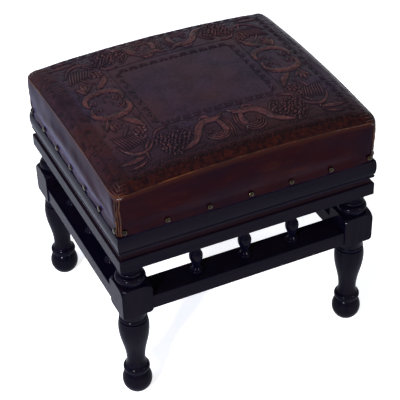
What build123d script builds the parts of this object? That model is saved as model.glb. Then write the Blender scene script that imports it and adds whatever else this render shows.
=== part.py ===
from build123d import *
from math import cos, hypot, radians, sin
import os

# A rectangular upholstered stool: four turned legs, a moulded frame, a low gallery of
# stretchers and spindles, and a crowned leather cushion held by a row of tacks.
# Millimetres. X runs along the long side, Y from front to back, Z up from the floor.

# Frame
frame_width = 470
frame_depth = 412
leg_height = 283
seat_fit = 0.3
overrun = 20

# Lower frame board, which the legs and spindles enter
board_height = 24
board_width = 60
board_setback = 1.5
board_easing = 1.2

# Moulded rail that stands on the board
rail_thickness = 24
fascia_height = 27
fascia_swell = 1.6
quirk_height = 1.5
quirk_depth = 3
bead_height = 6.5
bead_setback = 1.8
cove_height = 11
cove_depth = 5
rail_foot_setback = 3

# Glue blocks inside the frame's corners
glue_block_side = 36
glue_block_chamfer = 9

# Leg: the square block and the lathe-cut shoulders of its corners
block_side = 54
block_height = 57
neck_length = 40
block_setback = 0.5
top_shoulder = 12
bottom_shoulder = 6
shoulder_step = 0.6

# Leg: turned foot, ankle ring, vase and neck
foot_pad_radius = 12
foot_radius = 25.8
foot_belly_height = 24
foot_height = 43.5
foot_groove_radius = 19.5
foot_groove_height = 1.5
ankle_ring_radius = 22.9
ankle_ring_height = 14
ankle_ring_top_radius = 18.6
ankle_rise = 11.4
ankle_radius = 15.9
vase_radius = 26.4
vase_handle_share = 0.4
vase_lip_radius = 24.4
vase_lip_height = 15
collar_groove = 1.6
collar_groove_radius = 22.6
collar_bead_radius = 24.2
collar_bead_height = 6
under_block_radius = 25.2
under_block_height = 17.4
neck_foot_radius = 21.6
neck_foot_height = 2.5
neck_ring_radius = 25.6
neck_ring_height = 14.5
neck_ring_edge_radius = 20
neck_groove = 1.5
neck_groove_radius = 18
neck_collar_radius = 20.5
neck_collar_height = 6
neck_radius = 14.6
neck_lip_radius = 18
leg_tenon_radius = 13

# Stretcher: a flat board between the blocks, with a stub tenon at each end
stretcher_width = 50
stretcher_thickness = 27.5
stretcher_rise = 3
stretcher_easing = 1.4
stub_width = 22
stub_thickness = 12
stub_length = 13

# Spindle: ring, waist, belly and neck, with a round pin at each end
spindle_count = 3
spindle_pitch = 90
pin_radius = 5
pin_length = 11
spindle_ring_radius = 10.8
spindle_ring_height = 6.5
spindle_ring_edge_radius = 7.8
spindle_waist_radius = 5.6
spindle_waist_height = 3
spindle_belly_radius = 11.7
spindle_belly_height = 25
spindle_neck_radius = 6
spindle_neck_height = 19
spindle_collar_radius = 8.8
spindle_collar_height = 6
spindle_curve_share = 0.42

# Seat board and screws
seat_board_thickness = 18
seat_setback = 2.6
screw_inset = 43
screw_radius = 2
screw_head_radius = 4
screw_head_height = 2.6
screw_sink_depth = 8
screw_bite = 12

# Cushion: leather over a foam core on the seat board
leather_thickness = 2
cushion_foot_radius = 12
cushion_corner_radius = 20
cushion_height = 109
cushion_crown = 22
cushion_edge_radius = 15
side_swell = 3.4
side_draw_in = 4
crown_reach = 3.8
belly_share = 0.62
seam_drop = 9

# Upholstery tacks, an even row along each side
tack_count = 7
tack_head_radius = 5
tack_head_height = 2.8
tack_shank_radius = 0.9
tack_length = 9.5
tack_rise = 9
tack_end_gap = 14

# Levels that follow from the sizes above
rail_height = fascia_height + quirk_height + bead_height + cove_height
board_top = leg_height + board_height
frame_top = board_top + rail_height
seat_board_top = frame_top + seat_board_thickness
block_top = leg_height - neck_length
block_base = block_top - block_height
stretcher_base = block_base + stretcher_rise
stretcher_top = stretcher_base + stretcher_thickness
cushion_top = frame_top + cushion_height
leg_inset = block_setback + block_side / 2

# Each side of the stool: how far it is turned about Z, its length, and the depth across
sides = {
    "front": (0, frame_width, frame_depth),
    "right": (90, frame_depth, frame_width),
    "back": (180, frame_width, frame_depth),
    "left": (270, frame_depth, frame_width),
}

corners = {
    "front_left": (-1, -1),
    "front_right": (1, -1),
    "back_right": (1, 1),
    "back_left": (-1, 1),
}


def along_of(turn):
    """The direction in which a side runs."""
    return Vector(cos(radians(turn)), sin(radians(turn)), 0)


def outward_of(turn):
    """The direction in which a side faces."""
    return Vector(sin(radians(turn)), -cos(radians(turn)), 0)


def section_plane(turn):
    """A plane across a side: sketch X is the distance outward, sketch Y the height."""
    return Plane(origin=(0, 0, 0), x_dir=outward_of(turn), z_dir=-along_of(turn))


def corner_point(corner, inset, height):
    """A point inset by the same amount from both faces of a frame corner."""
    sign_x, sign_y = corners[corner]
    return (sign_x * (frame_width / 2 - inset), sign_y * (frame_depth / 2 - inset), height)


def mitre_ends(turn, run, across, gap=0):
    """Trims the open part to the two 45 degree joints at the ends of a side."""
    along = along_of(turn)
    outward = outward_of(turn)
    for end in (-1, 1):
        corner = outward * (across / 2) + along * (end * (run / 2 - gap))
        facing = along * end - outward
        split(bisect_by=Plane(origin=corner, z_dir=facing), keep=Keep.BOTTOM)


def save(part, name):
    """Labels a finished piece and writes it to its own file."""
    part.label = name
    export_step(part, f"parts/{name}.step")


os.makedirs("parts", exist_ok=True)


# Leg, turned about the Z axis of its own corner
def leg(corner):
    center = corner_point(corner, leg_inset, 0)
    turning = Plane(origin=center, x_dir=(1, 0, 0), z_dir=(0, -1, 0))
    axis = Axis(center, (0, 0, 1))
    half_diagonal = hypot(block_side / 2, block_side / 2)
    shoulder_radius = block_side / 2 + shoulder_step

    # The square block, its corners rounded off by the lathe at top and bottom
    with BuildPart() as block:
        with BuildSketch(Plane(origin=(center[0], center[1], block_base))):
            Rectangle(block_side, block_side)
        extrude(amount=block_height)
        with BuildSketch(turning):
            with BuildLine():
                Polyline((0, block_top), (0, block_base), (shoulder_radius, block_base))
                TangentArc(
                    (half_diagonal, block_base + bottom_shoulder),
                    (shoulder_radius, block_base),
                    tangent=(0, -1),
                )
                Line(
                    (half_diagonal, block_base + bottom_shoulder),
                    (half_diagonal, block_top - top_shoulder),
                )
                TangentArc(
                    (half_diagonal, block_top - top_shoulder),
                    (shoulder_radius, block_top),
                    tangent=(0, 1),
                )
                Line((shoulder_radius, block_top), (0, block_top))
            make_face()
        revolve(axis=axis, mode=Mode.INTERSECT)

    # Levels counted up from the floor to the ankle and down from the block to the belly
    ring_base = foot_height + foot_groove_height
    ring_top = ring_base + ankle_ring_height
    ankle = ring_top + ankle_rise
    bead_top = block_base - under_block_height
    bead_base = bead_top - collar_bead_height
    lip = bead_base - collar_groove
    belly = lip - vase_lip_height
    handle = (belly - ankle) * vase_handle_share
    neck_ring_base = block_top + neck_foot_height
    neck_ring_top = neck_ring_base + neck_ring_height
    collar_base = neck_ring_top + neck_groove
    collar_top = collar_base + neck_collar_height
    neck_handle = (leg_height - collar_top) / 2

    with BuildPart() as piece:
        with BuildSketch(turning):
            with BuildLine():
                # Ball foot and the groove above it
                Polyline((0, block_base), (0, 0), (foot_pad_radius, 0))
                TangentArc(
                    (foot_radius, foot_belly_height), (foot_pad_radius, 0), tangent=(0, -1)
                )
                TangentArc(
                    (foot_radius, foot_belly_height),
                    (foot_groove_radius, foot_height),
                    tangent=(0, 1),
                )
                Line((foot_groove_radius, foot_height), (foot_groove_radius, ring_base))
                # Ankle ring and the hollow that rises from it
                ThreePointArc(
                    (foot_groove_radius, ring_base),
                    (ankle_ring_radius, ring_base + ankle_ring_height / 2),
                    (ankle_ring_top_radius, ring_top),
                )
                TangentArc((ankle_radius, ankle), (ankle_ring_top_radius, ring_top), tangent=(0, -1))
                # Vase, from the slim ankle to the belly under the block
                Bezier(
                    (ankle_radius, ankle),
                    (ankle_radius, ankle + handle),
                    (vase_radius, belly - handle),
                    (vase_radius, belly),
                )
                TangentArc((vase_radius, belly), (vase_lip_radius, lip), tangent=(0, 1))
                # Groove, bead and the hollow that meets the block
                Polyline(
                    (vase_lip_radius, lip),
                    (collar_groove_radius, lip),
                    (collar_groove_radius, bead_base),
                )
                ThreePointArc(
                    (collar_groove_radius, bead_base),
                    (collar_bead_radius, bead_base + collar_bead_height / 2),
                    (collar_groove_radius, bead_top),
                )
                Line((collar_groove_radius, bead_top), (under_block_radius, block_base))
                Line((under_block_radius, block_base), (0, block_base))
            make_face()
        revolve(axis=axis)
        add(block.part)
        with BuildSketch(turning):
            with BuildLine():
                # Neck ring on its small foot
                Polyline(
                    (0, block_top),
                    (neck_foot_radius, block_top),
                    (neck_foot_radius, neck_ring_base),
                    (neck_ring_edge_radius, neck_ring_base),
                )
                ThreePointArc(
                    (neck_ring_edge_radius, neck_ring_base),
                    (neck_ring_radius, neck_ring_base + neck_ring_height / 2),
                    (neck_ring_edge_radius, neck_ring_top),
                )
                # Groove and collar, then the slim neck that opens under the frame
                Polyline(
                    (neck_ring_edge_radius, neck_ring_top),
                    (neck_groove_radius, neck_ring_top),
                    (neck_groove_radius, collar_base),
                )
                ThreePointArc(
                    (neck_groove_radius, collar_base),
                    (neck_collar_radius, collar_base + neck_collar_height / 2),
                    (neck_groove_radius, collar_top),
                )
                Bezier(
                    (neck_groove_radius, collar_top),
                    (neck_radius, collar_top + neck_handle),
                    (neck_radius, leg_height - neck_handle),
                    (neck_lip_radius, leg_height),
                )
                Polyline(
                    (neck_lip_radius, leg_height),
                    (leg_tenon_radius, leg_height),
                    (leg_tenon_radius, board_top - seat_fit),
                    (0, board_top - seat_fit),
                    (0, block_top),
                )
            make_face()
        revolve(axis=axis)
        # Mortises for the two stretchers that meet at this leg
        slot_height = stub_thickness + 2 * seat_fit
        slot_width = stub_width + 2 * seat_fit
        slot_depth = stub_length + seat_fit
        slot_level = stretcher_base + stretcher_thickness / 2
        sign_x, sign_y = corners[corner]
        for toward in (Vector(-sign_x, 0, 0), Vector(0, -sign_y, 0)):
            face_center = Vector(center[0], center[1], slot_level) + toward * (block_side / 2)
            with BuildSketch(Plane(origin=face_center, x_dir=(0, 0, 1), z_dir=toward)):
                Rectangle(slot_height, slot_width)
            extrude(amount=-slot_depth, mode=Mode.SUBTRACT)
    return piece.part


for corner in corners:
    save(leg(corner), f"leg_{corner}")


# Places of the spindles along a side, counted from its middle
def spindle_shifts():
    return [(i - (spindle_count - 1) / 2) * spindle_pitch for i in range(spindle_count)]


# Lower frame board, mitred, with round sockets for the leg tenons and spindles
def frame_board(turn, run, across):
    outer = across / 2 - board_setback
    with BuildPart() as piece:
        with BuildSketch(section_plane(turn)):
            with Locations((outer - board_width / 2, leg_height + board_height / 2)):
                Rectangle(board_width, board_height)
        extrude(amount=run / 2, both=True)
        face = piece.faces().sort_by(Axis((0, 0, 0), outward_of(turn)))[-1]
        fillet(face.edges().filter_by(Axis((0, 0, 0), along_of(turn))), radius=board_easing)
        mitre_ends(turn, run - 2 * board_setback, across - 2 * board_setback)
        line = outward_of(turn) * (across / 2 - leg_inset)
        for shift in spindle_shifts():
            socket = line + along_of(turn) * shift
            with Locations(Plane(origin=(socket.X, socket.Y, leg_height), z_dir=(0, 0, -1))):
                Hole(radius=pin_radius + seat_fit, depth=pin_length + seat_fit)
        for corner in corners:
            with Locations(corner_point(corner, leg_inset, board_top)):
                Hole(radius=leg_tenon_radius + seat_fit, depth=board_height)
            head_seat = corner_point(corner, screw_inset, leg_height)
            with Locations(Plane(origin=head_seat, z_dir=(0, 0, -1))):
                CounterBoreHole(
                    radius=screw_radius + seat_fit,
                    counter_bore_radius=screw_head_radius + seat_fit,
                    counter_bore_depth=screw_sink_depth,
                    depth=board_height,
                )
    return piece.part


for name, (turn, run, across) in sides.items():
    save(frame_board(turn, run, across), f"frame_board_{name}")


# Moulded rail: swelled fascia, quirk, bead and cove, mitred at the corners
def moulded_rail(turn, run, across):
    outer = across / 2
    inner = outer - rail_thickness
    fascia_base = frame_top - fascia_height
    bead_top = fascia_base - quirk_height
    bead_base = bead_top - bead_height
    bead_face = outer - bead_setback
    bead_root = outer - quirk_depth
    rail_foot = outer - rail_foot_setback
    with BuildPart() as piece:
        with BuildSketch(section_plane(turn)):
            with BuildLine():
                Polyline(
                    (rail_foot, board_top),
                    (inner, board_top),
                    (inner, frame_top),
                    (outer - fascia_swell, frame_top),
                )
                ThreePointArc(
                    (outer - fascia_swell, frame_top),
                    (outer, fascia_base + fascia_height / 2),
                    (outer - fascia_swell, fascia_base),
                )
                Polyline(
                    (outer - fascia_swell, fascia_base),
                    (bead_root, fascia_base),
                    (bead_root, bead_top),
                )
                ThreePointArc(
                    (bead_root, bead_top),
                    (bead_face, bead_base + bead_height / 2),
                    (bead_root, bead_base),
                )
                ThreePointArc(
                    (bead_root, bead_base),
                    (bead_root - cove_depth, board_top + cove_height / 2),
                    (rail_foot, board_top),
                )
            make_face()
        extrude(amount=run / 2, both=True)
        mitre_ends(turn, run, across)
    return piece.part


for name, (turn, run, across) in sides.items():
    save(moulded_rail(turn, run, across), f"moulded_rail_{name}")


# Glue block in the corner behind two rails, drilled for the seat screw
def glue_block(corner):
    sign_x, sign_y = corners[corner]
    center = corner_point(corner, rail_thickness + glue_block_side / 2, board_top)
    with BuildPart() as piece:
        with BuildSketch(Plane(origin=center)):
            Rectangle(glue_block_side, glue_block_side)
        extrude(amount=rail_height)
        inward = Axis((0, 0, 0), (-sign_x, -sign_y, 0))
        inner_edge = piece.edges().filter_by(Axis.Z).sort_by(inward)[-1]
        chamfer(inner_edge, length=glue_block_chamfer)
        with Locations(corner_point(corner, screw_inset, frame_top)):
            Hole(radius=screw_radius + seat_fit, depth=rail_height)
    return piece.part


for corner in corners:
    save(glue_block(corner), f"glue_block_{corner}")


# Stretcher between two leg blocks, with sockets for the spindles
def stretcher(turn, run, across):
    between = run - 2 * (block_setback + block_side)
    center = outward_of(turn) * (across / 2 - leg_inset)
    lying = Plane(
        origin=(center.X, center.Y, stretcher_base), x_dir=along_of(turn), z_dir=(0, 0, 1)
    )
    with BuildPart() as piece:
        with BuildSketch(lying):
            Rectangle(between, stretcher_width)
        extrude(amount=stretcher_thickness)
        fillet(
            piece.edges().filter_by(Axis((0, 0, 0), along_of(turn))), radius=stretcher_easing
        )
        with BuildSketch(lying.offset((stretcher_thickness - stub_thickness) / 2)):
            Rectangle(between + 2 * stub_length, stub_width)
        extrude(amount=stub_thickness)
        with Locations(lying.offset(stretcher_thickness)):
            with Locations([(shift, 0) for shift in spindle_shifts()]):
                Hole(radius=pin_radius + seat_fit, depth=pin_length + seat_fit)
    return piece.part


for name, (turn, run, across) in sides.items():
    save(stretcher(turn, run, across), f"stretcher_{name}")


# Spindle between a stretcher and the frame board
def spindle(turn, across, shift):
    foot = outward_of(turn) * (across / 2 - leg_inset) + along_of(turn) * shift
    turning = Plane(
        origin=(foot.X, foot.Y, stretcher_top), x_dir=outward_of(turn), z_dir=-along_of(turn)
    )
    height = leg_height - stretcher_top
    waist_top = spindle_ring_height + spindle_waist_height
    belly = waist_top + spindle_belly_height
    neck = belly + spindle_neck_height
    collar_top = neck + spindle_collar_height
    lower_handle = spindle_belly_height * spindle_curve_share
    upper_handle = spindle_neck_height * spindle_curve_share
    with BuildPart() as piece:
        with BuildSketch(turning):
            with BuildLine():
                Polyline(
                    (0, -pin_length),
                    (pin_radius, -pin_length),
                    (pin_radius, 0),
                    (spindle_ring_edge_radius, 0),
                )
                ThreePointArc(
                    (spindle_ring_edge_radius, 0),
                    (spindle_ring_radius, spindle_ring_height / 2),
                    (spindle_ring_edge_radius, spindle_ring_height),
                )
                Line(
                    (spindle_ring_edge_radius, spindle_ring_height),
                    (spindle_waist_radius, waist_top),
                )
                Bezier(
                    (spindle_waist_radius, waist_top),
                    (spindle_waist_radius, waist_top + lower_handle),
                    (spindle_belly_radius, belly - lower_handle),
                    (spindle_belly_radius, belly),
                )
                Bezier(
                    (spindle_belly_radius, belly),
                    (spindle_belly_radius, belly + upper_handle),
                    (spindle_neck_radius, neck - upper_handle),
                    (spindle_neck_radius, neck),
                )
                ThreePointArc(
                    (spindle_neck_radius, neck),
                    (spindle_collar_radius, neck + spindle_collar_height / 2),
                    (spindle_neck_radius, collar_top),
                )
                Polyline(
                    (spindle_neck_radius, collar_top),
                    (spindle_ring_edge_radius, height),
                    (pin_radius, height),
                    (pin_radius, height + pin_length),
                    (0, height + pin_length),
                    (0, -pin_length),
                )
            make_face()
        revolve(axis=Axis((foot.X, foot.Y, 0), (0, 0, 1)))
    return piece.part


for name, (turn, run, across) in sides.items():
    for number, shift in enumerate(spindle_shifts(), start=1):
        save(spindle(turn, across, shift), f"spindle_{name}_{number}")


# Places of the tacks along a side, counted from its middle
def tack_shifts(run):
    row = run - 2 * tack_end_gap
    return [row * (i / (tack_count - 1) - 1 / 2) for i in range(tack_count)]


def tack_planes(turn, run, across, face_inset):
    """Planes that face outward at each tack of a side, on the face at that inset."""
    face = outward_of(turn) * (across / 2 - face_inset)
    planes = []
    for shift in tack_shifts(run):
        point = face + along_of(turn) * shift
        origin = (point.X, point.Y, frame_top + tack_rise)
        planes.append(Plane(origin=origin, x_dir=along_of(turn), z_dir=outward_of(turn)))
    return planes


# The seat board, bored for the tacks round its edge and for the screws below
board_inset = seat_setback + leather_thickness + seat_fit
with BuildPart() as seat_board:
    with BuildSketch(Plane.XY.offset(frame_top)):
        RectangleRounded(
            frame_width - 2 * board_inset,
            frame_depth - 2 * board_inset,
            cushion_foot_radius - leather_thickness - seat_fit,
        )
    extrude(amount=seat_board_thickness)
    for turn, run, across in sides.values():
        for plane in tack_planes(turn, run, across, board_inset):
            with Locations(plane):
                Hole(radius=tack_shank_radius + seat_fit, depth=tack_length)
    for corner in corners:
        screw_foot = corner_point(corner, screw_inset, frame_top)
        with Locations(Plane(origin=screw_foot, z_dir=(0, 0, -1))):
            Hole(radius=screw_radius + seat_fit, depth=screw_bite + seat_fit)
save(seat_board.part, "seat_board")


# Four screws that hold the seat board down, one through each glue block
with BuildPart() as seat_screws:
    for corner in corners:
        head_base = leg_height + screw_sink_depth - screw_head_height
        with BuildSketch(Plane(origin=corner_point(corner, screw_inset, head_base))):
            Circle(screw_head_radius)
        extrude(amount=screw_head_height)
        with BuildSketch(Plane(origin=corner_point(corner, screw_inset, head_base))):
            Circle(screw_radius)
        extrude(amount=frame_top + screw_bite - head_base)
save(seat_screws.part, "seat_screws")


# A shallow dome over the stool, lowered by the given drop
def dome(drop):
    rim = hypot(frame_width, frame_depth) / 2
    apex = cushion_top - drop
    with BuildPart() as cap:
        with BuildSketch(Plane.XZ):
            with BuildLine():
                Polyline(
                    (0, apex),
                    (0, frame_top - overrun),
                    (rim, frame_top - overrun),
                    (rim, apex - cushion_crown),
                )
                TangentArc((0, apex), (rim, apex - cushion_crown), tangent=(1, 0))
            make_face()
        revolve(axis=Axis.Z)
    return cap.part


# The upholstered form, drawn in from the outside of the leather by the given skin.
# It stands straight up the seat board, swells above it and draws in again toward a
# crowned top with rounded edges; its corners grow rounder on the way up.
def cushion_form(skin, base):
    inset = seat_setback + skin
    wide = frame_width - 2 * inset
    deep = frame_depth - 2 * inset
    foot_corner = cushion_foot_radius - skin
    top_corner = cushion_corner_radius - skin
    loft_top = cushion_top + overrun
    swell_level = seat_board_top + (cushion_top - seat_board_top) * belly_share
    with BuildPart() as crown:
        with BuildSketch(Plane.XY.offset(base)):
            RectangleRounded(wide + 2 * crown_reach, deep + 2 * crown_reach, top_corner)
        extrude(amount=loft_top - base)
        add(dome(skin), mode=Mode.INTERSECT)
        crown_face = crown.faces().sort_by(Axis.Z)[-1]
        fillet(crown_face.edges(), radius=cushion_edge_radius - skin)
    with BuildPart() as form:
        with BuildSketch(Plane.XY.offset(base)):
            RectangleRounded(wide, deep, foot_corner)
        extrude(amount=seat_board_top - base)
        for level, swell, corner_radius in (
            (seat_board_top, 0, foot_corner),
            (swell_level, side_swell, top_corner),
            (loft_top, -side_draw_in, top_corner),
        ):
            with BuildSketch(Plane.XY.offset(level)):
                RectangleRounded(wide + 2 * swell, deep + 2 * swell, corner_radius)
        loft()
        add(crown.part, mode=Mode.INTERSECT)
    return form.part


core_skin = leather_thickness + seat_fit
with BuildPart() as foam_core:
    add(cushion_form(core_skin, frame_top))
    split(bisect_by=Plane.XY.offset(seat_board_top), keep=Keep.TOP)
save(foam_core.part, "foam_core")

with BuildPart() as leather_shell:
    add(cushion_form(0, frame_top + seat_fit))
    add(cushion_form(leather_thickness, frame_top), mode=Mode.SUBTRACT)

# The leather top, down to the seam on the rounded edge
with BuildPart() as leather_top:
    add(leather_shell.part)
    add(dome(seam_drop), mode=Mode.SUBTRACT)
save(leather_top.part, "leather_top")


# One side of the leather, below the seam, pierced by its tacks
def leather_side(turn, run, across):
    with BuildPart() as piece:
        add(leather_shell.part)
        add(dome(seam_drop + seat_fit), mode=Mode.INTERSECT)
        mitre_ends(turn, run, across, gap=seat_fit / 2)
        for plane in tack_planes(turn, run, across, seat_setback):
            with Locations(plane):
                Hole(radius=tack_shank_radius + seat_fit, depth=leather_thickness + seat_fit)
    return piece.part


for name, (turn, run, across) in sides.items():
    save(leather_side(turn, run, across), f"leather_side_{name}")


# A row of domed tacks along one side
def tack_row(turn, run, across):
    with BuildPart() as row:
        for plane in tack_planes(turn, run, across, seat_setback - seat_fit):
            outline = Plane(origin=plane.origin, x_dir=plane.x_dir, z_dir=-plane.y_dir)
            with BuildSketch(outline):
                with BuildLine():
                    Polyline(
                        (0, tack_head_height),
                        (0, -tack_length),
                        (tack_shank_radius, -tack_length),
                        (tack_shank_radius, 0),
                        (tack_head_radius, 0),
                    )
                    TangentArc(
                        (0, tack_head_height), (tack_head_radius, 0), tangent=(1, 0)
                    )
                make_face()
            revolve(axis=Axis(plane.origin, plane.z_dir))
    return row.part


for name, (turn, run, across) in sides.items():
    save(tack_row(turn, run, across), f"tacks_{name}")
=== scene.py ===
import math

import bmesh
import bpy
import numpy as np
from mathutils import Matrix, Vector


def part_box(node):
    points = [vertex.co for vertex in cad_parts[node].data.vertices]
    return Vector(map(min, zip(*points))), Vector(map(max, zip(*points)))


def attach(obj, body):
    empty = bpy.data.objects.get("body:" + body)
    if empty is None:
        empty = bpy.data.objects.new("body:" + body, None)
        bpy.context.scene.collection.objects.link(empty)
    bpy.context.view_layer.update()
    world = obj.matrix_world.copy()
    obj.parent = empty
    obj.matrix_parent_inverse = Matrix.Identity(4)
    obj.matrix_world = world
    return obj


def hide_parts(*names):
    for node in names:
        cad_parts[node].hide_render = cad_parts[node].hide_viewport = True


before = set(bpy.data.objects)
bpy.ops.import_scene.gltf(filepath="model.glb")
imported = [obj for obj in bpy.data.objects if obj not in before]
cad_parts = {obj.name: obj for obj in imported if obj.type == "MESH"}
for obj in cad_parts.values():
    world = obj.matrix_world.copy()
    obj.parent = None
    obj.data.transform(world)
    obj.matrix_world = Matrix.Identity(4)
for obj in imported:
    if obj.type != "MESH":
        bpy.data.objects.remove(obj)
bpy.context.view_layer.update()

scene = bpy.context.scene

# Sizes read from the frame, in metres
rail_low, rail_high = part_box("moulded_rail_front")
tacks_low, tacks_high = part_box("tacks_front")
half_width, half_depth = rail_high.x, -rail_low.y
frame_top = rail_high.z
cove_low = rail_low.z
cove_high = cove_low + 0.011
leather_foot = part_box("leather_side_front")[0].z
crown_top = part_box("leather_top")[1].z
head_radius = 0.005
tack_level = (tacks_low.z + tacks_high.z) / 2
long_tack_run = tacks_high.x - head_radius
short_tack_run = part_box("tacks_right")[1].y - head_radius
tacks_a_side = 7

SIDES = ("front", "right", "back", "left")
LONG_SIDES = ("front", "back")


# Writing nodes and finishes

class Value:
    """A node's output that takes part in ordinary arithmetic."""

    def __init__(self, nodes, socket):
        self.nodes = nodes
        self.socket = socket

    def maths(self, operation, first, second):
        values = {0: first, 1: second}
        return self.nodes.node("ShaderNodeMath", {"operation": operation}, values)

    def __add__(self, other):
        return self.maths("ADD", self, other)

    def __mul__(self, other):
        return self.maths("MULTIPLY", self, other)

    def __sub__(self, other):
        return self.maths("SUBTRACT", self, other)

    def __rsub__(self, other):
        return self.maths("SUBTRACT", other, self)

    __radd__ = __add__
    __rmul__ = __mul__

    def step(self, low, high):
        """Rises smoothly from 0 at low to 1 at high."""
        settings = {"interpolation_type": "SMOOTHSTEP"}
        return self.nodes.node("ShaderNodeMapRange", settings, {0: self, 1: low, 2: high})

    def part(self, axis):
        return self.nodes.node("ShaderNodeSeparateXYZ", {}, {0: self}, axis)


class Nodes:
    """A tree of nodes, written by plain calls and expressions."""

    def __init__(self, tree):
        self.tree = tree
        tree.nodes.clear()

    def node(self, kind, settings, values, output=0):
        made = self.tree.nodes.new(kind)
        for name, setting in settings.items():
            setattr(made, name, setting)
        for key, value in values.items():
            if isinstance(value, Value):
                self.tree.links.new(value.socket, made.inputs[key])
            else:
                made.inputs[key].default_value = value
        return Value(self, made.outputs[output]) if len(made.outputs) else None


class Finish(Nodes):
    """One material, from its patterns to its surface."""

    def __init__(self, name):
        self.material = bpy.data.materials.new(name)
        self.material.use_nodes = True
        super().__init__(self.material.node_tree)

    def place(self, stretch=(1, 1, 1)):
        """Object coordinates, in metres, stretched along each axis."""
        values = {0: self.node("ShaderNodeTexCoord", {}, {}, "Object"), 1: stretch}
        return self.node("ShaderNodeVectorMath", {"operation": "MULTIPLY"}, values)

    def noise(self, scale, detail, roughness, stretch=(1, 1, 1)):
        values = {"Scale": scale, "Detail": detail, "Roughness": roughness}
        return self.node("ShaderNodeTexNoise", {}, {"Vector": self.place(stretch), **values})

    def cells(self, scale):
        values = {"Vector": self.place(), "Scale": scale}
        return self.node("ShaderNodeTexVoronoi", {}, values)

    def mark(self, name):
        """A value stored on the piece's own mesh."""
        return self.node("ShaderNodeAttribute", {"attribute_name": name}, {}, "Fac")

    def mix(self, share, first, second):
        settings = {"data_type": "RGBA"}
        return self.node("ShaderNodeMix", settings, {0: share, 6: first, 7: second}, 2)

    def bump(self, height, depth, strength):
        values = {"Height": height, "Distance": depth, "Strength": strength}
        return self.node("ShaderNodeBump", {}, values)

    def surface(self, **values):
        named = {name.replace("_", " "): value for name, value in values.items()}
        shader = self.node("ShaderNodeBsdfPrincipled", {}, named)
        self.node("ShaderNodeOutputMaterial", {}, {"Surface": shader})
        return self.material


def tone(red, green, blue):
    return (red, green, blue, 1.0)


# Finishes

cool_gloss = tone(0.7, 0.8, 1.0)
white = tone(1.0, 1.0, 1.0)


def stained_wood(name, grain):
    """Near-black stained hardwood with a soft polish; the grain runs along one axis."""
    stain_black, stain_brown = tone(0.0008, 0.0006, 0.0030), tone(0.0026, 0.0014, 0.0036)
    rubbed_brown, cove_red = tone(0.010, 0.0048, 0.0050), tone(0.012, 0.0030, 0.0026)
    wood = Finish(name)
    stretch = [1.0, 1.0, 1.0]
    stretch[grain] = 0.06
    fibres = wood.noise(420.0, 5.0, 0.65, stretch)
    bands = wood.noise(60.0, 3.0, 0.5, stretch)
    mottle = wood.noise(14.0, 2.0, 0.5)
    height = wood.place().part(2)
    blur = 0.001
    above = height.step(cove_low - blur, cove_low + blur)
    recess = above * (1.0 - height.step(cove_high - blur, cove_high + blur))
    dark = wood.mix(bands.step(0.35, 0.7), stain_black, stain_brown)
    worn = wood.mix(fibres.step(0.55, 0.8) * 0.5, dark, rubbed_brown)
    return wood.surface(
        Base_Color=wood.mix(recess * 0.3, worn, cove_red),
        Roughness=fibres * 0.08 + mottle * 0.08 + 0.17,
        Specular_IOR_Level=0.004,
        Specular_Tint=tone(0.45, 0.6, 1.0),
        Coat_Weight=0.065,
        Coat_Roughness=0.10,
        Sheen_Weight=0.06,
        Sheen_Roughness=0.3,
        Sheen_Tint=tone(0.25, 0.4, 1.0),
        Normal=wood.bump(fibres, 0.0004, 0.5),
    )


def tooled_leather():
    """Antiqued leather: dark ground, red-brown where the ornament stands up, with painted
    shade toward the edges of the raised shapes.
    """
    dye_black, dye_plum = tone(0.0070, 0.0033, 0.0085), tone(0.0215, 0.0108, 0.0210)
    dye_brown, handled_brown = tone(0.030, 0.0095, 0.0095), tone(0.0110, 0.0032, 0.0036)
    motif_dark, motif_light = tone(0.017, 0.0066, 0.0095), tone(0.064, 0.0205, 0.0190)
    amber_dark, amber_light = tone(0.0042, 0.0009, 0.0012), tone(0.021, 0.0038, 0.0020)
    cut_black = tone(0.0022, 0.0012, 0.0020)
    hide = Finish("tooled_leather")
    raised, cut, glow = hide.mark("raised"), hide.mark("cut"), hide.mark("glow")
    mottle = hide.noise(26.0, 4.0, 0.6)
    cloud = hide.noise(7.0, 2.0, 0.5)
    grain = hide.cells(900.0)
    pores = hide.noise(700.0, 3.0, 0.6)
    speckle = hide.noise(170.0, 4.0, 0.7)
    streak = hide.noise(190.0, 5.0, 0.7, (0.5, 0.5, 1.0))
    ground_spots = (mottle * 0.5 + speckle * 0.5).step(0.36, 0.64)
    motif_spots = (mottle * 0.45 + speckle * 0.55).step(0.39, 0.61)
    handled = 1.0 - hide.place().part(1).step(-0.19, -0.08)
    ground = hide.mix(ground_spots, dye_black, dye_plum)
    ground = hide.mix(cloud.step(0.42, 0.7) * 0.7, ground, dye_brown)
    ground = hide.mix(handled * 0.8, ground, handled_brown)
    motif = hide.mix(motif_spots, motif_dark, motif_light)
    amber = hide.mix(streak.step(0.35, 0.7), amber_dark, amber_light)
    # The raised mark holds the motif colour, with painted shade toward each shape's edge
    colour = hide.mix(raised.step(0.15, 1.0), ground, motif)
    colour = hide.mix(glow.step(0.0, 1.0) * 0.85, colour, amber)
    return hide.surface(
        Base_Color=hide.mix(cut.step(0.1, 0.9) * 0.85, colour, cut_black),
        Roughness=pores * 0.14 + cut * 0.2 + mottle * 0.08 + 0.20,
        Specular_IOR_Level=0.02,
        Specular_Tint=cool_gloss,
        Coat_Weight=0.075 - glow * 0.05,
        Coat_Roughness=0.17,
        Sheen_Weight=0.025,
        Sheen_Roughness=0.3,
        Sheen_Tint=tone(0.3, 0.4, 1.0),
        Normal=hide.bump(grain * 0.4 + pores * 0.6, 0.00035, 0.7),
    )


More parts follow.
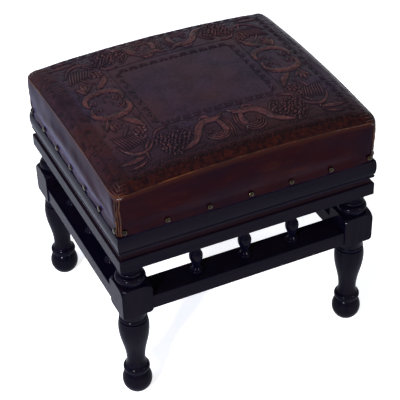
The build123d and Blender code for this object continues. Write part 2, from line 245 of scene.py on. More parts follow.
def smooth_leather():
    """Smooth dyed leather of the sides, streaked by hand polish; lighter brown under the seam,
    partly rubbed wear and partly a painted highlight.
    """
    dye_black, dye_red = tone(0.0036, 0.0006, 0.0026), tone(0.0082, 0.0008, 0.0014)
    polish_red, wear_and_highlight_brown = tone(0.0170, 0.0031, 0.0016), tone(0.028, 0.0070, 0.0028)
    cut_edge = tone(0.018, 0.0070, 0.0035)
    hide = Finish("smooth_leather")
    streak = hide.noise(70.0, 4.0, 0.65, (0.22, 0.22, 1.0))
    cloud = hide.noise(14.0, 4.0, 0.6, (0.55, 0.55, 1.3))
    grain = hide.cells(800.0)
    pores = hide.noise(600.0, 3.0, 0.6)
    base = hide.mix(cloud.step(0.3, 0.7), dye_black, dye_red)
    base = hide.mix(streak.step(0.5, 0.76) * 0.6, base, polish_red)
    # Lighter brown just under the seam: partly rubbed wear, partly a painted highlight along
    # the upper side
    base = hide.mix(hide.mark("worn").step(0.1, 1.0) * 0.5, base, wear_and_highlight_brown)
    return hide.surface(
        Base_Color=hide.mix(hide.mark("edge").step(0.3, 0.9), base, cut_edge),
        Roughness=pores * 0.12 + streak * 0.16 + 0.18,
        Specular_IOR_Level=0.008,
        Specular_Tint=cool_gloss,
        Coat_Weight=0.03,
        Coat_Roughness=0.14,
        Sheen_Weight=0.11,
        Sheen_Roughness=0.3,
        Sheen_Tint=tone(0.16, 0.22, 1.0),
        Normal=hide.bump(grain * 0.4 + pores * 0.6, 0.0003, 0.5),
    )


def ridge_leather(name, dark, rubbed, coat):
    """The folded edge of the leather at a seam, rubbed lighter here and there."""
    hide = Finish(name)
    rub = hide.noise(17.0, 4.0, 0.65)
    pores = hide.noise(700.0, 2.0, 0.6)
    return hide.surface(
        Base_Color=hide.mix(rub.step(0.42, 0.72), dark, rubbed),
        Roughness=rub * 0.2 + 0.16,
        Specular_IOR_Level=0.03,
        Coat_Weight=coat,
        Coat_Roughness=0.14,
        Normal=hide.bump(pores, 0.0003, 0.5),
    )


def plywood():
    """Pale birch face of the seat board, its grain along the length."""
    birch_pale, birch_dark = tone(0.36, 0.235, 0.125), tone(0.24, 0.145, 0.070)
    birch_shade = tone(0.20, 0.125, 0.065)
    board = Finish("birch_plywood")
    grain = board.noise(110.0, 5.0, 0.6, (0.08, 1.0, 1.0))
    cloud = board.noise(9.0, 2.0, 0.5, (0.4, 1.0, 1.0))
    colour = board.mix(grain.step(0.3, 0.75), birch_pale, birch_dark)
    return board.surface(
        Base_Color=board.mix(cloud.step(0.35, 0.75) * 0.4, colour, birch_shade),
        Roughness=grain * 0.2 + 0.6,
        Specular_IOR_Level=0.2,
        Normal=board.bump(grain, 0.0003, 0.6),
    )


def screw_steel():
    """Dull zinc-plated steel with fine turning marks."""
    zinc_pale, zinc_dark = tone(0.32, 0.31, 0.29), tone(0.16, 0.15, 0.13)
    steel = Finish("screw_steel")
    marks = steel.noise(300.0, 3.0, 0.6, (1.0, 1.0, 12.0))
    return steel.surface(
        Base_Color=steel.mix(marks.step(0.35, 0.7), zinc_pale, zinc_dark),
        Metallic=1.0,
        Roughness=marks * 0.2 + 0.3,
        Normal=steel.bump(marks, 0.0002, 0.4),
    )


def antique_brass():
    """Dark oxidised brass, bright only where the heads are rubbed."""
    oxide, rubbed_brass = tone(0.004, 0.0032, 0.0025), tone(0.034, 0.026, 0.016)
    brass = Finish("antique_brass")
    tarnish = brass.noise(380.0, 4.0, 0.6)
    return brass.surface(
        Base_Color=brass.mix(tarnish.step(0.35, 0.65), oxide, rubbed_brass),
        Metallic=1.0,
        Roughness=tarnish * 0.16 + 0.10,
        Normal=brass.bump(brass.cells(420.0), 0.0004, 0.5),
    )


wood_upright = stained_wood("stained_wood_upright", 2)
wood_along = stained_wood("stained_wood_along", 0)
wood_across = stained_wood("stained_wood_across", 1)
top_finish = tooled_leather()
side_finish = smooth_leather()
ridge_finish = ridge_leather(
    "ridge_leather", tone(0.010, 0.0028, 0.0020), tone(0.064, 0.0190, 0.0046), 0.10
)
fold_finish = ridge_leather(
    "fold_leather", tone(0.008, 0.0018, 0.0024), tone(0.034, 0.0070, 0.0045), 0.25
)
brass_finish = antique_brass()

for name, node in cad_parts.items():
    if name.startswith(("leg_", "spindle_", "glue_block_")):
        node.data.materials[0] = wood_upright
    elif name.startswith(("frame_board_", "moulded_rail_", "stretcher_")):
        runs_across = name.endswith(("left", "right"))
        node.data.materials[0] = wood_across if runs_across else wood_along
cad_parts["seat_board"].data.materials[0] = plywood()
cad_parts["seat_screws"].data.materials[0] = screw_steel()


# Meshes

pole_radius, pole_gap = 0.00001, 0.00003


def show(name, data):
    """Puts a mesh, lamp or camera in the scene as an object."""
    piece = bpy.data.objects.new(name, data)
    scene.collection.objects.link(piece)
    return piece


def grid_quads(index):
    """Faces between the rows and columns of a grid of point numbers."""
    corners = (index[:-1, :-1], index[:-1, 1:], index[1:, 1:], index[1:, :-1])
    return np.stack(corners, axis=-1).reshape(-1, 4)


def ring_quads(rings):
    """Faces between rings of point numbers, each ring closed on itself."""
    after = np.roll(rings, -1, axis=1)
    corners = (rings[:-1], after[:-1], after[1:], rings[1:])
    return np.stack(corners, axis=-1).reshape(-1, 4)


def quad_mesh(name, points, quads, marks, material):
    """A smooth mesh of quads, with values stored on its points."""
    mesh = bpy.data.meshes.new(name)
    mesh.vertices.add(len(points))
    mesh.vertices.foreach_set("co", np.asarray(points, np.float32).ravel())
    mesh.loops.add(len(quads) * 4)
    mesh.loops.foreach_set("vertex_index", np.asarray(quads, np.int32).ravel())
    mesh.polygons.add(len(quads))
    mesh.polygons.foreach_set("loop_start", np.arange(0, len(quads) * 4, 4, dtype=np.int32))
    mesh.update(calc_edges=True)
    mesh.validate()
    mesh.shade_smooth()
    for mark, values in marks.items():
        stored = mesh.attributes.new(mark, "FLOAT", "POINT")
        stored.data.foreach_set("value", np.asarray(values, np.float32).ravel())
    if material:
        mesh.materials.append(material)
    return show(name, mesh)


def sheet_mesh(name, points, marks, material):
    """A sheet through a rows by columns array of points."""
    rows, columns, _ = points.shape
    index = np.arange(rows * columns).reshape(rows, columns)
    return quad_mesh(name, points.reshape(-1, 3), grid_quads(index), marks, material)


def close_poles(piece):
    """Joins the points of a round piece that meet at its ends."""
    form = bmesh.new()
    form.from_mesh(piece.data)
    bmesh.ops.remove_doubles(form, verts=form.verts, dist=pole_gap)
    form.to_mesh(piece.data)
    form.free()
    piece.data.shade_smooth()
    return piece


def tube_mesh(name, path, radii, material, closed=False, sides=8):
    """A round strand along a path; its ends are closed unless it is a loop."""
    path = np.asarray(path)
    if closed:
        ahead = np.roll(path, -1, axis=0) - np.roll(path, 1, axis=0)
    else:
        ahead = np.gradient(path, axis=0)
    ahead /= np.linalg.norm(ahead, axis=1, keepdims=True)
    radii = np.broadcast_to(radii, len(path))
    if not closed:
        path, ahead = (np.concatenate([line[:1], line, line[-1:]]) for line in (path, ahead))
        radii = np.concatenate([[pole_radius], radii, [pole_radius]])
    steep = np.abs(ahead[:, 2:]) > 0.9
    across = np.cross(ahead, np.where(steep, [[1.0, 0.0, 0.0]], [[0.0, 0.0, 1.0]]))
    across /= np.linalg.norm(across, axis=1, keepdims=True)
    over = np.cross(across, ahead)
    angles = np.arange(sides) * 2 * math.pi / sides
    ring = across[:, None] * np.cos(angles)[None, :, None]
    ring = ring + over[:, None] * np.sin(angles)[None, :, None]
    points = path[:, None] + ring * radii[:, None, None]
    rings = np.arange(len(path) * sides).reshape(-1, sides)
    if closed:
        rings = np.vstack([rings, rings[:1]])
    piece = quad_mesh(name, points.reshape(-1, 3), ring_quads(rings[::-1]), {}, material)
    return piece if closed else close_poles(piece)


# The leather cover's form

face_setback = 0.0026
face_x = half_width - face_setback
face_y = half_depth - face_setback
board_thick = 0.018
seat_board_top = frame_top + board_thick
edge_roll = 0.015
seam_lean = 0.9165
seam_growth = 0.00255
seam_x = face_x + seam_growth
seam_y = face_y + seam_growth
corner_top = 0.0188
corner_foot = 0.012
crown_drop = 0.022
crown_reach = math.hypot(half_width, half_depth)
crown_radius = (crown_reach**2 + crown_drop**2) / (2 * crown_drop)
belly_level = 0.0564
belly_growth = 0.1598
belly_return = 1.764


def round_corners(x, y, half_x, half_y, radius):
    """Rounds the corners of a rectangular layout; also gives the distance from its edge."""
    spot, half = np.stack([x, y]), np.stack([half_x + 0 * x, half_y + 0 * y])
    over = np.clip((np.abs(spot) - (half - radius)) / radius, 0, 1)
    out = over * np.sqrt(1 - over[::-1] ** 2 / 2)
    new_x, new_y = np.sign(spot) * (np.minimum(np.abs(spot), half - radius) + radius * out)
    plain = np.minimum(*(half - np.abs(spot)))
    edge = np.where((over > 0).all(axis=0), radius * (1 - np.hypot(*out)), plain)
    return new_x, new_y, np.maximum(edge, 0)


def crown(x, y):
    """Height of the shallow dome over a place on the plan."""
    return crown_top - crown_radius + np.sqrt(crown_radius**2 - x**2 - y**2)


def swell(z):
    """How far a side stands out at a height: it swells, then draws in again."""
    rise = np.clip(z - seat_board_top, 0, None)
    return belly_growth * rise - belly_return * rise**2


def top_point(x, y):
    """A point of the top sheet, which ends at the seam on the rounded edge."""
    plan_x, plan_y, edge = round_corners(x, y, seam_x, seam_y, corner_top)
    lean = np.clip(seam_lean - edge / edge_roll, 0, 1)
    drop = edge_roll * (1 - np.sqrt(1 - lean**2))
    return np.stack([plan_x, plan_y, crown(plan_x, plan_y) - drop], axis=-1)


def side_point(x, y, down):
    """A point of a side, from the seam (down = 0) to the foot of the leather (down = 1)."""
    seam = top_point(x, y)[..., 2]
    z = seam + (leather_foot - seam) * down
    growth = seam_growth + (swell(z) - seam_growth) * np.clip(down * side_rows, 0, 1)
    rounding = np.clip((z - seat_board_top) / belly_level, 0, 1)
    radius = corner_foot + (corner_top - corner_foot) * rounding
    half_x, half_y = face_x + growth, face_y + growth
    plan_x, plan_y, _ = round_corners(
        x * half_x / seam_x, y * half_y / seam_y, half_x, half_y, radius
    )
    return np.stack([plan_x, plan_y, z], axis=-1)


# A coarse, welded mesh of the whole cover: the top sheet and rings of side points below it
cells_x, cells_y, side_rows = 48, 40, 12
stuffing_frames, travel_limit, easing_rows = 20, 0.0022, 6
top_index = np.arange((cells_x + 1) * (cells_y + 1)).reshape(cells_y + 1, cells_x + 1)
rim_index = np.concatenate(
    [top_index[0, :-1], top_index[:-1, -1], top_index[-1, :0:-1], top_index[:0:-1, 0]]
)
rim_count = len(rim_index)
grid_x, grid_y = np.meshgrid(
    np.linspace(-seam_x, seam_x, cells_x + 1), np.linspace(-seam_y, seam_y, cells_y + 1)
)
rim_x, rim_y = grid_x.ravel()[rim_index], grid_y.ravel()[rim_index]
form_top = top_point(grid_x, grid_y).reshape(-1, 3)
form_rings = [
    side_point(rim_x, rim_y, np.full_like(rim_x, row / side_rows))
    for row in range(1, side_rows + 1)
]
form = np.concatenate([form_top, *form_rings])
ring_index = [rim_index] + [
    len(form_top) + row * rim_count + np.arange(rim_count) for row in range(side_rows)
]


def cover_quads():
    quads = [grid_quads(top_index)]
    for upper, lower in zip(ring_index[:-1], ring_index[1:]):
        corners = (upper, lower, np.roll(lower, -1), np.roll(upper, -1))
        quads.append(np.stack(corners, axis=-1))
    return np.concatenate(quads)


def stuffed(points):
    """Lets the cover fill out under pressure, held at its foot, as cloth."""
    middle = np.array([0.0, 0.0, leather_foot])
    slack = np.array([0.985, 0.985, 0.975])
    start = middle + (points - middle) * slack
    held_rings = np.concatenate(ring_index[-2:])
    start[held_rings] = points[held_rings]
    cover = quad_mesh("cover_simulation", start, cover_quads(), {}, None)
    hold = cover.vertex_groups.new(name="held")
    hold.add([int(i) for i in held_rings], 1.0, "REPLACE")
    cloth = cover.modifiers.new("stuffing", "CLOTH")
    leather = cloth.settings
    leather.vertex_group_mass = "held"
    leather.quality = 8
    leather.mass = 0.4
    leather.tension_stiffness = 30
    leather.compression_stiffness = 30
    leather.shear_stiffness = 12
    leather.bending_stiffness = 6
    leather.use_pressure = True
    leather.uniform_pressure_force = 4.0
    leather.effector_weights.gravity = 0
    cloth.point_cache.frame_start = 1
    cloth.point_cache.frame_end = stuffing_frames
    for step in range(1, stuffing_frames + 1):
        scene.frame_set(step)
    filled = cover.evaluated_get(bpy.context.evaluated_depsgraph_get()).to_mesh()
    result = np.zeros(len(points) * 3, np.float32)
    filled.vertices.foreach_get("co", result)
    scene.frame_set(1)
    bpy.data.objects.remove(cover)
    return result.reshape(-1, 3).astype(float)


cover_points = form
travel = stuffed(form) - form
length = np.linalg.norm(travel, axis=1, keepdims=True)
travel *= np.minimum(1, travel_limit / np.maximum(length, 1e-9))
# The stuffing fades out toward the tacked foot
for row, ring in enumerate(ring_index):
    ease = min(1.0, (side_rows - row) / easing_rows)
    travel[ring] *= ease * ease * (3 - 2 * ease)
cover_points = form + travel


def spline_weights(places, last):
    """Weights of a uniform cubic spline through control points 0 to last, ends held."""
    weights = np.zeros((len(places), last + 3))
    cell = np.clip(np.floor(places).astype(int), 0, last - 1)
    t = places - cell
    shares = ((1 - t) ** 3, 3 * t**3 - 6 * t**2 + 4, -3 * t**3 + 3 * t**2 + 3 * t + 1, t**3)
    for offset, share in enumerate(shares):
        weights[np.arange(len(places)), cell + offset] += share / 6
    # The points beyond each end mirror their neighbours through the end point
    weights[:, 1] += 2 * weights[:, 0]
    weights[:, 2] -= weights[:, 0]
    weights[:, -2] += 2 * weights[:, -1]
    weights[:, -3] -= weights[:, -1]
    return weights[:, 1:-1]


def resample(points, row_places, column_places):
    across = spline_weights(column_places, points.shape[1] - 1)
    down = spline_weights(row_places, points.shape[0] - 1)
    return np.einsum("ri,ijk,cj->rck", down, points, across)


def normals_of(points):
    normal = np.cross(np.gradient(points, axis=1), np.gradient(points, axis=0))
    return normal / np.maximum(np.linalg.norm(normal, axis=-1, keepdims=True), 1e-12)


# Tooling of the top, laid out in millimetres

# The plain panel, the border inside it and the middles of the ornament
panel_left, panel_right, panel_front, panel_back = -119.0, 121.0, -95.0, 107.0
border_left, border_right, border_front, border_back = -104.0, 103.0, -84.0, 88.0
mirror_x, mirror_y = 2.0, 6.0
short_band_x, short_band_y, long_band_y, corner_y = 120.0, 9.0, 101.0, 6.0
# Rows of stamps, beads and lines near the edges, and half of how far they run
outer_front, outer_back, outer_right = -190.0, 192.0, 206.0
long_stamps, short_stamps, bead_run, line_run = 198, 178, 192, 180
bead_levels = (-173.0, 176.0)
left_lines = ((-200.0, 1.4), (-220.0, 1.8))
glow_front, glow_left = -176.0, -199.0
stamp_pitch, bead_pitch = 18.9, 6.2
dot = 0.01
far = 1e3


def box_corners(left, right, front, back):
    return [(left, front), (right, front), (right, back), (left, back), (left, front)]


def spans(points, x, y):
    """For each span of a line: the share along it, the distance from it, and its length."""
    for (ax, ay), (bx, by) in zip(points[:-1], points[1:]):
        dx, dy = bx - ax, by - ay
        t = np.clip(((x - ax) * dx + (y - ay) * dy) / max(dx * dx + dy * dy, 1e-9), 0, 1)
        yield t, np.hypot(x - ax - t * dx, y - ay - t * dy), math.hypot(dx, dy)


class Tooling:
    """Raised, cut and stamped marks on the top sheet, drawn through a layout."""

    def __init__(self, xs, ys):
        self.xs, self.ys = xs, ys
        self.height, self.raised, self.cut = np.zeros((3, len(ys), len(xs)))
        self.layout = None

    def window(self, points, margin):
        """The part of the sheet round some points, and its places across and along."""
        low, high = points.min(0) - margin, points.max(0) + margin
        columns = slice(*np.searchsorted(self.xs, (low[0], high[0])))
        rows = slice(*np.searchsorted(self.ys, (low[1], high[1])))
        return (rows, columns), self.xs[None, columns], self.ys[rows, None]

    def placed(self, points):
        points = np.asarray(points, float)
        return np.stack(self.layout(*points.T), 1) if self.layout else points

    def lay(self, area, gap, rise, colour, groove):
        """Lays a raised shape, given the distance outside its edge, and cuts its outline."""
        inside = np.clip((0.35 - gap) / 0.9, 0, 1)
        inside = inside * inside * (3 - 2 * inside)
        dome = rise * (0.72 + 0.28 * np.clip(-gap / 2.5, 0, 1))
        line = groove * np.exp(-((gap - 0.8) ** 2))
        # The raised colour fades toward each shape's edge: painted shade that gives the shape
        # volume
        full = 0.35 + 0.65 * np.clip(-gap / 1.8, 0, 1)
        self.height[area] = self.height[area] * (1 - inside) + dome * inside
        self.raised[area] = self.raised[area] * (1 - inside) + colour * full * inside
        self.cut[area] = np.maximum(self.cut[area] * (1 - inside), line * (1 - inside))

    def stroke(self, points, widths, rise=1.0, colour=1.0, groove=1.0, ribs=0.0):
        """A raised stroke whose half width changes along it, ribbed at a spacing or plain."""
        points = self.placed(points)
        shares = np.linspace(0, 1, len(points))
        widths = np.interp(shares, np.linspace(0, 1, len(widths)), widths)
        area, x, y = self.window(points, widths.max() + 3)
        gap = np.full((y.size, x.size), far)
        place = np.zeros_like(gap)
        run = 0.0
        for (t, away, length), start, end in zip(spans(points, x, y), widths, widths[1:]):
            this_gap = away - start - t * (end - start)
            place = np.where(this_gap < gap, run + t * length, place)
            gap = np.minimum(gap, this_gap)
            run += length
        self.lay(area, gap, rise, colour, groove)
        if ribs:
            off = (np.mod(place / ribs, 1) - 0.5) * ribs
            within = np.clip((2.6 + gap) / 1.4, 0, 1) * (gap < 0)
            rib = 0.75 * np.exp(-((off / 0.8) ** 2)) * within
            self.cut[area] = np.maximum(self.cut[area], rib)

    def line(self, points, width, depth=1.0):
        """A groove along a line."""
        points = self.placed(points)
        area, x, y = self.window(points, width + 2)
        away = np.full((y.size, x.size), far)
        for _, this_away, _ in spans(points, x, y):
            away = np.minimum(away, this_away)
        groove = depth * np.exp(-((away / max(width, 0.65)) ** 2))
        self.cut[area] = np.maximum(self.cut[area], groove)


def curve(*points, count=10):
    """A smooth line through a few points."""
    points = np.asarray(points, float)
    ends = np.vstack([2 * points[0] - points[1], points, 2 * points[-1] - points[-2]])
    t = np.linspace(0, 1, count, endpoint=False)[:, None]
    out = []
    for a, b, c, d in zip(ends[:-3], ends[1:-2], ends[2:-1], ends[3:]):
        bend = 2 * a - 5 * b + 4 * c - d
        out.append((2 * b + (c - a) * t + bend * t**2 + (3 * b - a - 3 * c + d) * t**3) / 2)
    return np.vstack([*out, points[-1:]])


def spiral(centre, outer, inner, start, end, count=34, squash=1.0):
    angles = np.radians(np.linspace(start, end, count))
    radii = np.linspace(outer, inner, count)
    x, y = radii * np.cos(angles), radii * squash * np.sin(angles)
    return np.stack([centre[0] + x, centre[1] + y], 1)


def arc(centre, radius, start, end, count=18, squash=1.0):
    return spiral(centre, radius, radius, start, end, count, squash)


def leaf(tool, base, tip, width, bend, ribs):
    """A pointed leaf with a vein and slanting ribs."""
    base, tip = np.asarray(base, float), np.asarray(tip, float)
    along = tip - base
    side = np.array([-along[1], along[0]])
    vein = curve(base, (base + tip) / 2 + side * bend, tip, count=8)
    tool.stroke(vein, [0.5, width * 0.8, width, width * 0.7, 0.2], ribs=4.0)
    tool.line(vein[1:-2], 0.5, 0.7)
    reach = np.linalg.norm(along)
    side = side / reach
    for share in np.linspace(0.2, 0.8, ribs):
        root = vein[int(share * (len(vein) - 1))]
        spread = width * 0.85 * math.sin(math.pi * share)
        for sign in (-1, 1):
            end = root + side * sign * spread + along / reach * spread * 0.8
            tool.line([root, end], 0.4, 0.55)


def grapes(tool, centre, radius, pitch=7.0):
    """A bunch of round grapes in loose rows, each a little off its place."""
    chance = np.random.default_rng(11)
    rows = int(radius / pitch * 1.15) + 1
    for row in range(-rows, rows + 1):
        for column in range(-rows, rows + 1):
            u = (column + (row % 2) / 2) * pitch
            w = row * pitch * 0.866
            off_u, off_w, size = chance.uniform(-1, 1, 3)
            if math.hypot(u, w) > radius * (1 - 0.14 * math.sin(3 * math.atan2(w, u) + 0.6)):
                continue
            u, w = centre[0] + u + 1.8 * off_u, centre[1] + w + 1.8 * off_w
            width, rise, colour = 2.6 + 0.45 * size, 1.25 + 0.2 * size, 0.75 + 0.25 * size
            tool.stroke([(u, w), (u + dot, w)], [width], rise, colour, 1.1)


def flower(tool, centre, radius, petals=6):
    for number in range(petals):
        angle = 2 * math.pi * number / petals
        root, tip = (
            (centre[0] + reach * math.cos(angle), centre[1] + reach * math.sin(angle))
            for reach in (radius * 0.45, radius)
        )
        tool.stroke([root, tip], [radius * 0.22, radius * 0.34])
    tool.stroke([centre, (centre[0] + dot, centre[1])], [radius * 0.3], 1.4)


def hatch(tool, points, low, high, spacing):
    """Short cuts across a band, from low to high on its outer side."""
    steps = np.linalg.norm(np.diff(points, axis=0), axis=1)
    run = np.concatenate([[0], np.cumsum(steps)])
    for distance in np.arange(spacing, run[-1] - spacing, spacing):
        root, ahead = (
            np.array([np.interp(distance + more, run, points[:, k]) for k in (0, 1)])
            for more in (0, 1)
        )
        ahead = ahead - root
        out = np.array([-ahead[1], ahead[0]]) / max(np.linalg.norm(ahead), 1e-6)
        tool.line([root + low * out, root + high * out], 0.42, 0.6)


def long_band(tool):
    """Half of a front or back band: u runs from the middle, w outward from the panel."""
    # Striped bell-flower beside the middle
    for u, width in ((0, 1.5), (4.4, 1.6)):
        stem = curve((9 + u, 20), (5 + u, 40), (6 + u, 58), (10 + u, 74))
        tool.stroke(stem, [0.7, width, width, 0.5])
    bell = curve((21, 23), (17.5, 38), (17.5, 52), (24, 66))
    tool.stroke(bell, [3.4, 5.2, 5.8, 2.4], ribs=4.4)
    for radius in (7.0, 11.6, 16.2, 20.8):
        tool.stroke(arc((32, 51), radius, 10, 150), [0.8, 1.75, 1.75, 1.2])
    tool.stroke(spiral((44, 44), 5.4, 1.4, 120, -240), [1.5, 1.2, 1.0])
    # Stem that sweeps over the curl and out under the grapes
    stem = ((12, 17), (24, 20), (41, 20), (55, 30), (65, 47), (76, 60), (89, 67), (101, 71))
    tool.stroke(curve(*stem), [2.4, 5.8, 6.4, 6.4, 6.0, 5.6, 3.8, 0.8])
    for w in (-1.8, 1.6):
        groove = curve((24, 19 + w), (42, 19 + w), (56, 29 + w), (67, 46 + w), (79, 60 + w))
        tool.line(groove, 0.45, 0.6)
    tool.stroke(arc((38, 18), 10.5, -25, -155), [1.0, 2.6, 2.8, 1.0])
    tool.stroke(curve((5, 8), (12, 13), (20, 14)), [1.0, 2.0, 0.8])
    # Grapes between a pair of fine arcs and a leaf
    for reach in (33.5, 38.5):
        tool.stroke(arc((108, 43), reach, 165, 238), [0.4, 1.3, 1.2, 0.4])
    tool.stroke(curve((137, 20), (148, 33), (155, 52), (156, 68)), [0.6, 1.9, 1.9, 0.6])
    tool.stroke(curve((100, 3), (112, 4), (123, 9), (126, 17)), [0.6, 2.6, 2.4, 0.6])
    grapes(tool, (108, 43), 28.5)


def short_band(tool):
    """Half of a left or right band: u runs from its middle, w outward from the panel."""
    middle = 37.0
    # A broad C-scroll with a curl at each end; a pair of them closes the oval
    back = [(4, 66), (14, 69.5), (26, 67), (36, 56), (40, middle)]
    path = back + [(u, 2 * middle - w) for u, w in back[-2::-1]]
    for sign in (-1, 1):
        curl = spiral((10.5, middle + sign * 19.5), 6.6, 1.2, sign * 100, sign * -320)
        tool.stroke(curl, [1.7, 1.6, 1.4, 1.1])
    tool.stroke(curve(*path), [1.6, 3.8, 5.2, 6.6, 7.4, 6.6, 5.2, 3.8, 1.6], ribs=4.6)
    hatch(tool, curve(*path[1:-1]), 1.0, 5.4, 4.2)
    for inset in (-3.4, 1.0):
        inner = [
            (u + inset * (u / 39), middle + (w - middle) * (1 + inset / 34))
            for u, w in path[2:-2]
        ]
        tool.line(curve(*inner), 0.5, 0.6)
    # A ribbed leaf, a fingered leaf and a flower beyond the scroll
    leaf(tool, (48, 36), (88, 6), 6.4, -0.08, 9)
    for tip in ((66, 38), (76, 45), (80, 54), (72, 66)):
        finger = curve((46, 56), ((50 + tip[0]) / 2, (58 + tip[1]) / 2), tip)
        tool.stroke(finger, [1.6, 3.2, 2.8, 0.7], ribs=4.0)
    flower(tool, (95, 17), 8.0)
    tool.stroke(curve((88, 30), (98, 30), (105, 22)), [0.6, 1.6, 0.6])


def corner_palmette(tool):
    """Feathered arcs and a ribbed leaf that fill a corner of the top."""
    cup = curve((189, 108), (180, 128), (163, 141), (144, 136), (131, 120))
    tool.stroke(cup, [0.6, 2.4, 3.4, 2.6, 0.8], ribs=4.4)
    for number in range(8):
        u = 4.9 * number
        barb = curve((188 - u, 84 + number), (183 - u, 101), (177 - u, 124 - number))
        tool.stroke(barb, [0.5, 1.5, 1.8, 0.7], 0.95, 0.8)
    tool.stroke(spiral((139, 104), 6.4, 1.4, -60, 260), [1.6, 1.4, 1.1])
    leaf(tool, (156, 151), (203, 153), 5.2, 0.04, 10)
    tool.stroke(curve((160, 163), (176, 169), (194, 168)), [0.8, 2.6, 2.2, 0.6])
    tool.stroke(curve((150, 66), (163, 82), (168, 92)), [0.6, 2.0, 0.6])


def stamp_run(low, high, pitch):
    count = round((high - low) / pitch)
    return low + (np.arange(count) + 0.5) * (high - low) / count


def scallop(tool, spot, opening):
    """A stamped arch with a bar inside, open toward the given direction."""
    opening = np.array(opening)
    across = np.array([-opening[1], opening[0]])
    arch = arc((0, 0), 5.6, 0, 180, 11, 1.15)
    arch = spot + arch[:, :1] * across - arch[:, 1:] * opening
    tool.stroke(arch, [0.5, 0.9, 0.9, 0.5], 1.1, 0.8, 1.1)
    bar = spot + np.array([[-0.9], [0.9]]) * across - 1.6 * opening
    tool.stroke(bar, [0.9, 0.9], 0.9, 0.6, 0.8)


def quarter(sx, sy):
    """Each motif of a quarter of the top, and where its u and w lie on the sheet."""
    return (
        (long_band, lambda u, w: (mirror_x + sx * u, mirror_y + sy * (long_band_y + w))),
        (short_band, lambda u, w: (sx * (short_band_x + w), short_band_y + sy * u)),
        (corner_palmette, lambda u, w: (sx * u, mirror_y + sy * (w + corner_y))),
    )


def tool_top(xs, ys):
    tool = Tooling(xs, ys)
    for sx in (-1, 1):
        for sy in (-1, 1):
            for motif, layout in quarter(sx, sy):
                tool.layout = layout
                motif(tool)
    tool.layout = None
    # Incised line round the panel
    tool.line(box_corners(panel_left, panel_right, panel_front, panel_back), 1.0)
    tool.line([(panel_left + 4, panel_front), (panel_left + 4, panel_back)], 2.6, 0.35)
    # Stamped arches round the plain middle, which lies a little lower
    for x in stamp_run(border_left, border_right, stamp_pitch):
        scallop(tool, (x, border_front), (0, 1))
        scallop(tool, (x, border_back), (0, -1))
    for y in stamp_run(border_front, border_back, stamp_pitch):
        scallop(tool, (border_left, y), (1, 0))
        scallop(tool, (border_right, y), (-1, 0))
    tool.line(box_corners(border_left, border_right, border_front, border_back), 0.7, 0.7)
    # Arches along the long edges and the right one, beads, and soft lines on the left
    for x in stamp_run(-long_stamps, long_stamps, stamp_pitch):
        scallop(tool, (x, outer_front), (0, -1))
        scallop(tool, (x, outer_back), (0, 1))
    for y in stamp_run(-short_stamps, short_stamps, stamp_pitch):
        scallop(tool, (outer_right, y), (1, 0))
    chance = np.random.default_rng(12)
    for x in stamp_run(-bead_run, bead_run, bead_pitch):
        for level in bead_levels:
            spot = np.array([x, level]) + chance.uniform(-1.4, 1.4, 2)
            width = 1.5 + chance.uniform(-0.4, 0.3)
            tool.stroke([spot, spot + [dot, 0]], [width], 0.8, 0.6)
    for x, width in left_lines:
        tool.line([(x, -line_run), (x, line_run)], width, 0.5)
    return tool


# The top sheet, finer where it is tooled than on the plain middle

fine = 1.0
plain_half = 76.0
end_x, end_y = seam_x * 1e3, seam_y * 1e3
ys_edge = np.arange(plain_half, end_y, fine)
ys_mid = np.arange(-plain_half, plain_half, 3 * fine)
top_ys = np.concatenate([-ys_edge[::-1], ys_mid[1:], ys_edge])
top_ys = np.concatenate([[-end_y], top_ys[np.abs(top_ys) < end_y - 0.3], [end_y]])
top_xs = np.linspace(-end_x, end_x, int(2 * end_x / fine))
top_points = resample(
    cover_points[top_index],
    (top_ys / 1e3 + seam_y) / (2 * seam_y) * cells_y,
    (top_xs / 1e3 + seam_x) / (2 * seam_x) * cells_x,
)
tool = tool_top(top_xs, top_ys)
tooled_shape = tool.height.shape
across, along = top_xs[None, :], top_ys[:, None]


def soft_noise(shape, cells, seed):
    """Smooth random values from a coarse grid, about -1 to 1."""
    rough = np.random.default_rng(seed).uniform(-1, 1, (cells[0] + 1, cells[1] + 1, 1))
    rows = np.linspace(0, cells[0], shape[0])
    columns = np.linspace(0, cells[1], shape[1])
    return resample(rough, rows, columns)[..., 0] * 1.6


def ramp(values, reach):
    """Rises from 0 to 1 over a reach."""
    return np.clip(values / reach, 0, 1)


relief, cut_depth, stipple_depth = 1.45, 0.9, 0.9
pebble_height, motif_grain, unevenness, plain_sunk, edge_fade = 0.10, 0.16, 0.3, 0.5, 6
pebble = soft_noise(tooled_shape, (130, 150), 3)
beside, beyond = (across < panel_left) | (across > panel_right), along > panel_back
in_band = (beside | beyond | (along < panel_front)).astype(float)
in_plain = (
    ramp(across - border_left, 2) * ramp(border_right - across, 2)
    * ramp(along - border_front, 2) * ramp(border_back - along, 2)
)
stipple = np.clip(-1.3 * pebble - 0.2, 0, 0.7) * in_band * (1 - np.clip(2 * tool.raised, 0, 1))
tool.cut = np.maximum(tool.cut, stipple_depth * stipple)
worked = relief * tool.height - cut_depth * tool.cut
worked += pebble_height * pebble * in_band
worked += motif_grain * soft_noise(tooled_shape, (170, 200), 4) * np.clip(tool.raised, 0, 1)
worked += unevenness * soft_noise(tooled_shape, (14, 17), 5) - plain_sunk * in_plain
worked *= ramp(np.minimum(end_x - np.abs(across), end_y - np.abs(along)), edge_fade)
top_points = top_points + normals_of(top_points) * (worked[..., None] / 1e3)
front_glow, left_glow = ramp(glow_front - along, 16), 0.55 * ramp(glow_left - across, 3)
marks = {"raised": tool.raised, "cut": tool.cut, "glow": np.maximum(front_glow, left_glow)}
top_sheet = sheet_mesh("tooled_top", top_points, marks, top_finish)


# The sides

